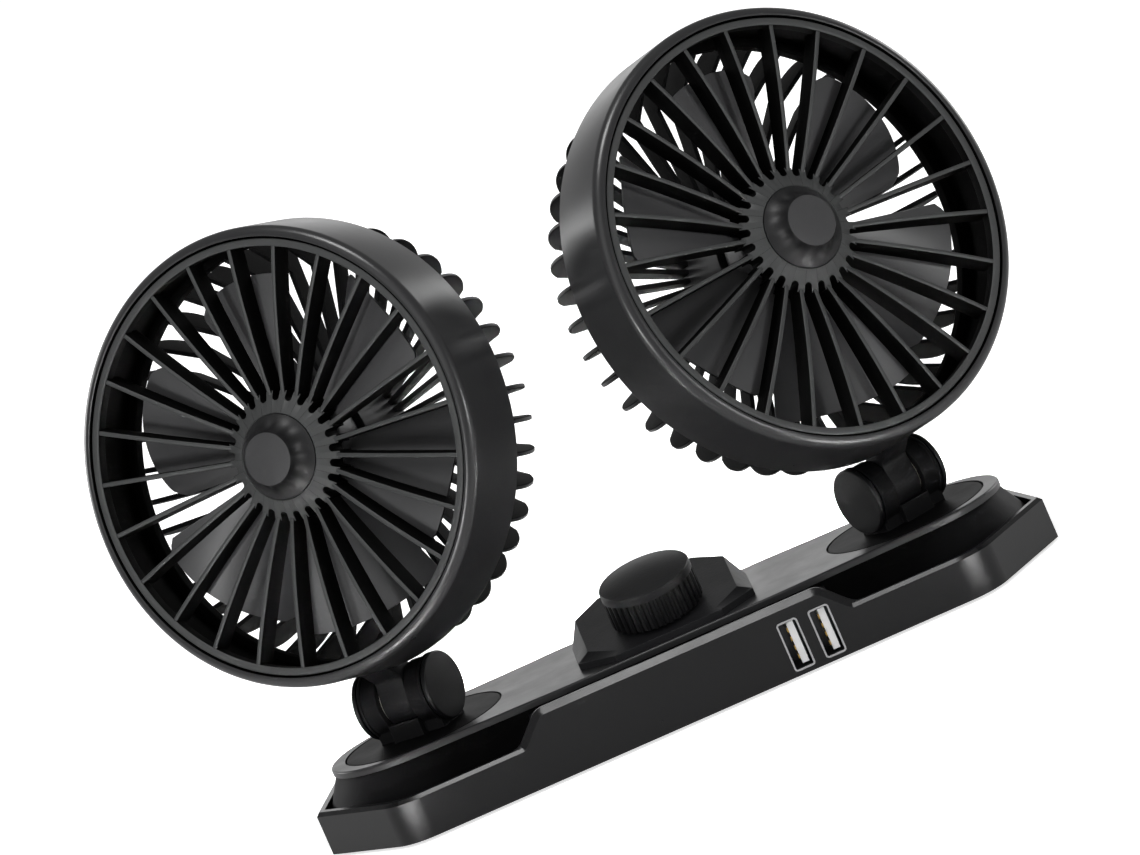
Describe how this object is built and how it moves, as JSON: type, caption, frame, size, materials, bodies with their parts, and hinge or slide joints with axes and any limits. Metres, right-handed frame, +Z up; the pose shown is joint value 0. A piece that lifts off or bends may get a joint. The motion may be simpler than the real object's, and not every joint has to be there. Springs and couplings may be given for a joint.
{
  "type": "dual head car fan",
  "caption": "Dashboard fan with twin round heads that swivel and tilt on a long base with a speed knob, USB ports and a shallow tray.",
  "frame": {"origin": "on the dashboard, under the middle of the base, midway between the two swivel axes", "axes": "+X along the base to the right as seen from the front, -Y to the front (the side with the ports), +Z up"},
  "size_m": [0.2438, 0.095, 0.1566],
  "materials": {
    "base_plastic": "black moulded ABS, fine satin texture",
    "spine_plastic": "black moulded ABS, smooth satin",
    "pad_rubber": "black silicone rubber, matt",
    "gland_rubber": "black rubber, matt",
    "fastener_steel": "zinc plated steel",
    "shaft_steel": "ground steel",
    "hinge_plastic": "black moulded polyamide, satin",
    "washer_nylon": "natural nylon",
    "shroud_plastic": "black moulded ABS, satin",
    "grille_plastic": "black moulded ABS, satin",
    "hub_cap_plastic": "black moulded ABS, smooth",
    "blade_plastic": "black moulded polypropylene, semi gloss",
    "motor_steel": "zinc plated steel can",
    "control_plastic": "black moulded ABS, matt",
    "knob_plastic": "black moulded ABS, soft matt",
    "switch_plastic": "black phenolic",
    "port_steel": "nickel plated steel sheet",
    "port_frame": "white moulded plastic, smooth",
    "port_tongue": "white moulded polyamide",
    "contact_gold": "gold plated contacts",
    "board_laminate": "green solder mask over glass fibre laminate"
  },
  "bodies": {
    "base": {"base_shell": "base_plastic", "bottom_cover": "base_plastic", "grip_pad": "pad_rubber", "bottom_screws": "fastener_steel", "spine_cover": "spine_plastic", "cable_gland": "gland_rubber", "control_housing": "control_plastic", "housing_screws": "fastener_steel", "rotary_switch": "switch_plastic", "switch_nut": "fastener_steel", "circuit_board": "board_laminate", "board_screws": "fastener_steel", "usb_shell_left": "port_steel", "usb_shell_right": "port_steel", "usb_frame_left": "port_frame", "usb_frame_right": "port_frame", "usb_tongue_left": "port_tongue", "usb_tongue_right": "port_tongue", "usb_contacts_left": "contact_gold", "usb_contacts_right": "contact_gold"},
    "knob": {"speed_knob": "knob_plastic", "switch_shaft": "shaft_steel"},
    "swivel_left": {"turntable_left": "hinge_plastic", "swivel_washer_left": "fastener_steel", "swivel_screw_left": "fastener_steel", "tilt_bolt_left": "fastener_steel", "tilt_nut_left": "fastener_steel", "inner_cap_left": "hinge_plastic", "outer_cap_left": "hinge_plastic", "friction_washers_left": "washer_nylon"},
    "head_left": {"head_shroud_left": "shroud_plastic", "front_grille_left": "grille_plastic", "hub_cap_left": "hub_cap_plastic", "motor_left": "motor_steel", "rear_grille_left": "shroud_plastic", "motor_screws_left": "fastener_steel"},
    "fan_left": {"impeller_left": "blade_plastic", "motor_shaft_left": "shaft_steel"},
    "swivel_right": {"turntable_right": "hinge_plastic", "swivel_washer_right": "fastener_steel", "swivel_screw_right": "fastener_steel", "tilt_bolt_right": "fastener_steel", "tilt_nut_right": "fastener_steel", "inner_cap_right": "hinge_plastic", "outer_cap_right": "hinge_plastic", "friction_washers_right": "washer_nylon"},
    "head_right": {"head_shroud_right": "shroud_plastic", "front_grille_right": "grille_plastic", "hub_cap_right": "hub_cap_plastic", "motor_right": "motor_steel", "rear_grille_right": "shroud_plastic", "motor_screws_right": "fastener_steel"},
    "fan_right": {"impeller_right": "blade_plastic", "motor_shaft_right": "shaft_steel"}
  },
  "joints": [
    {"name": "knob_turn", "type": "hinge", "parent": "base", "child": "knob", "pos_m": [0, -0.0094, 0.025], "axis": [0, -0.2079, 0.9781], "range_deg": [-270, 0]},
    {"name": "swivel_left", "type": "hinge", "parent": "base", "child": "swivel_left", "pos_m": [-0.0665, 0, 0.02], "axis": [0, 0, 1], "range_deg": [-142.7, 207.3]},
    {"name": "tilt_left", "type": "hinge", "parent": "swivel_left", "child": "head_left", "pos_m": [-0.0665, 0, 0.0294], "axis": [-0.8453, 0.5344, 0], "range_deg": [-39.1, 50.9]},
    {"name": "fan_spin_left", "type": "hinge", "parent": "head_left", "child": "fan_left", "pos_m": [-0.07258, -0.00961, 0.10031], "axis": [-0.5183, -0.8198, 0.2436], "continuous": true},
    {"name": "swivel_right", "type": "hinge", "parent": "base", "child": "swivel_right", "pos_m": [0.0665, 0, 0.02], "axis": [0, 0, 1], "range_deg": [-207.3, 142.7]},
    {"name": "tilt_right", "type": "hinge", "parent": "swivel_right", "child": "head_right", "pos_m": [0.0665, 0, 0.0294], "axis": [-0.8453, -0.5344, 0], "range_deg": [-39.1, 50.9]},
    {"name": "fan_spin_right", "type": "hinge", "parent": "head_right", "child": "fan_right", "pos_m": [0.07258, -0.00961, 0.10031], "axis": [0.5183, -0.8198, 0.2436], "continuous": true}
  ]
}
